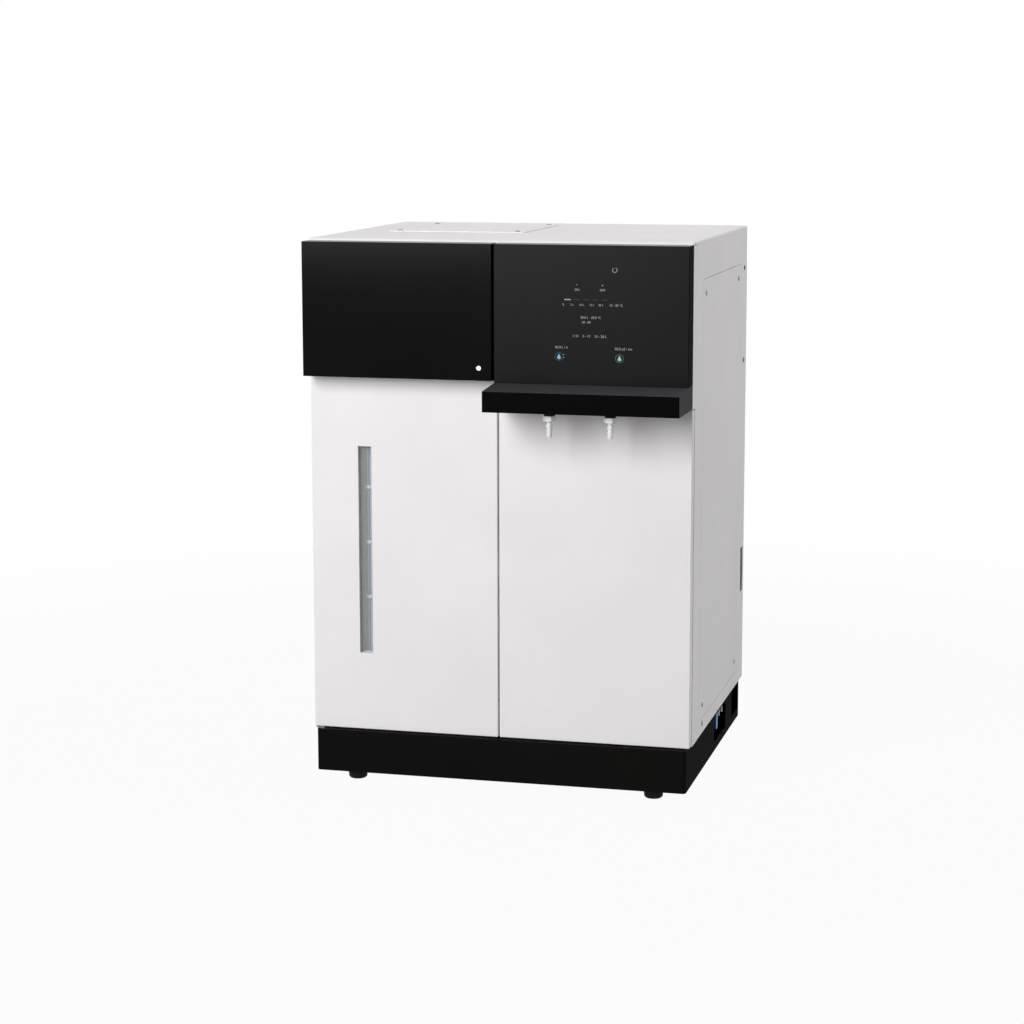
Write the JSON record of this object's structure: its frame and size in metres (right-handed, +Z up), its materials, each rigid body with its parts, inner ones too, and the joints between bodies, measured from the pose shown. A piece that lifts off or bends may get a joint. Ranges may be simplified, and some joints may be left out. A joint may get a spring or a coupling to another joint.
{
  "type": "laboratory water distiller",
  "caption": "White bench-top water still on a black plinth, with a black still cover, a touch panel, a dispensing hood with two hose nozzles and a door with a level slit",
  "frame": {"origin": "the middle of the footprint, on the bench under the feet", "axes": "+Z up, the doors and the hood face -Y, +X to the right as seen from the front"},
  "size_m": [0.5036, 0.515, 0.718],
  "materials": {
    "white_paint": "satin powder coat",
    "grey_sheet": "satin",
    "black_paint": "fine satin powder coat",
    "panel_black": "smooth, slightly glossy",
    "black_plastic": "moulded",
    "grey_plastic": "moulded",
    "white_plastic": "moulded",
    "blue_plastic": "moulded",
    "tank_plastic": "translucent, moulded",
    "clear_glass": "clear",
    "steel": "brushed",
    "rubber_black": "matte",
    "silicone": "translucent",
    "board_green": "solder resist",
    "magnet": "matte"
  },
  "bodies": {
    "cabinet": {"plinth_skirt": "black_paint", "plinth_floor": "black_paint", "rubber_feet": "rubber_black", "foot_screws": "steel", "drain_valve": "white_plastic", "cable_gland": "black_plastic", "chassis_floor": "white_paint", "front_post_left": "white_paint", "front_post_right": "white_paint", "rear_post_left": "white_paint", "rear_post_right": "white_paint", "top_cover": "white_paint", "service_plate": "white_paint", "cabinet_screws": "steel", "side_panel_left": "white_paint", "side_panel_right": "white_paint", "rear_panel": "grey_sheet", "centre_partition": "grey_sheet", "middle_shelf": "grey_sheet", "hinge_jamb": "white_paint", "panel_backing": "white_paint", "control_housing": "black_plastic", "touch_panel": "panel_black", "control_board": "board_green", "dispensing_hood": "black_paint", "nozzle_left": "white_plastic", "nozzle_right": "white_plastic", "nozzle_collars": "rubber_black", "door_pivots": "steel", "door_magnets": "magnet", "right_front_panel": "white_paint", "front_panel_studs": "steel", "storage_tank": "tank_plastic", "tank_lid": "blue_plastic", "gauge_tube": "clear_glass", "gauge_fittings": "white_plastic", "gauge_channel": "white_plastic", "gauge_clips": "white_plastic", "boiler_base": "black_plastic", "boiler_vessel": "clear_glass", "boiler_lid": "steel", "heater_element": "steel", "condenser_jacket": "clear_glass", "condenser_core": "clear_glass", "condenser_caps": "black_plastic", "still_pipes": "steel", "ion_cartridge": "white_plastic", "feed_pump": "black_plastic", "inlet_valve": "white_plastic", "water_hoses": "silicone", "main_breaker": "grey_plastic"},
    "tank_door": {"left_door": "white_paint", "door_liner": "white_paint", "slit_pane": "clear_glass"},
    "still_cover": {"upper_cover": "black_paint", "cover_hinge_pins": "steel"},
    "fastener": {"cover_fastener": "steel"},
    "drain_cock": {"drain_lever": "blue_plastic"},
    "breaker_toggle": {"breaker_lever": "black_plastic"},
    "float": {"level_float": "white_plastic"}
  },
  "joints": [
    {"name": "tank_door_hinge", "type": "hinge", "parent": "cabinet", "child": "tank_door", "pos_m": [-0.244, -0.1615, 0.304], "axis": [0, 0, -1], "range_deg": [0, 110]},
    {"name": "still_cover_hinge", "type": "hinge", "parent": "cabinet", "child": "still_cover", "pos_m": [-0.244, -0.1795, 0.626], "axis": [0, 0, -1], "range_deg": [0, 105]},
    {"name": "fastener_turn", "type": "hinge", "parent": "still_cover", "child": "fastener", "pos_m": [-0.017, -0.1975, 0.556], "axis": [0, 1, 0], "range_deg": [0, 90]},
    {"name": "drain_turn", "type": "hinge", "parent": "cabinet", "child": "drain_cock", "pos_m": [0.238, 0.075, 0.055], "axis": [1, 0, 0], "range_deg": [0, 90]},
    {"name": "breaker_tilt", "type": "hinge", "parent": "cabinet", "child": "breaker_toggle", "pos_m": [0.2424, 0.239, 0.2305], "axis": [0, 1, 0], "range_deg": [0, 32]},
    {"name": "float_rise", "type": "slide", "parent": "cabinet", "child": "float", "axis": [0, 0, 1], "range_m": [0, 0.013]}
  ]
}
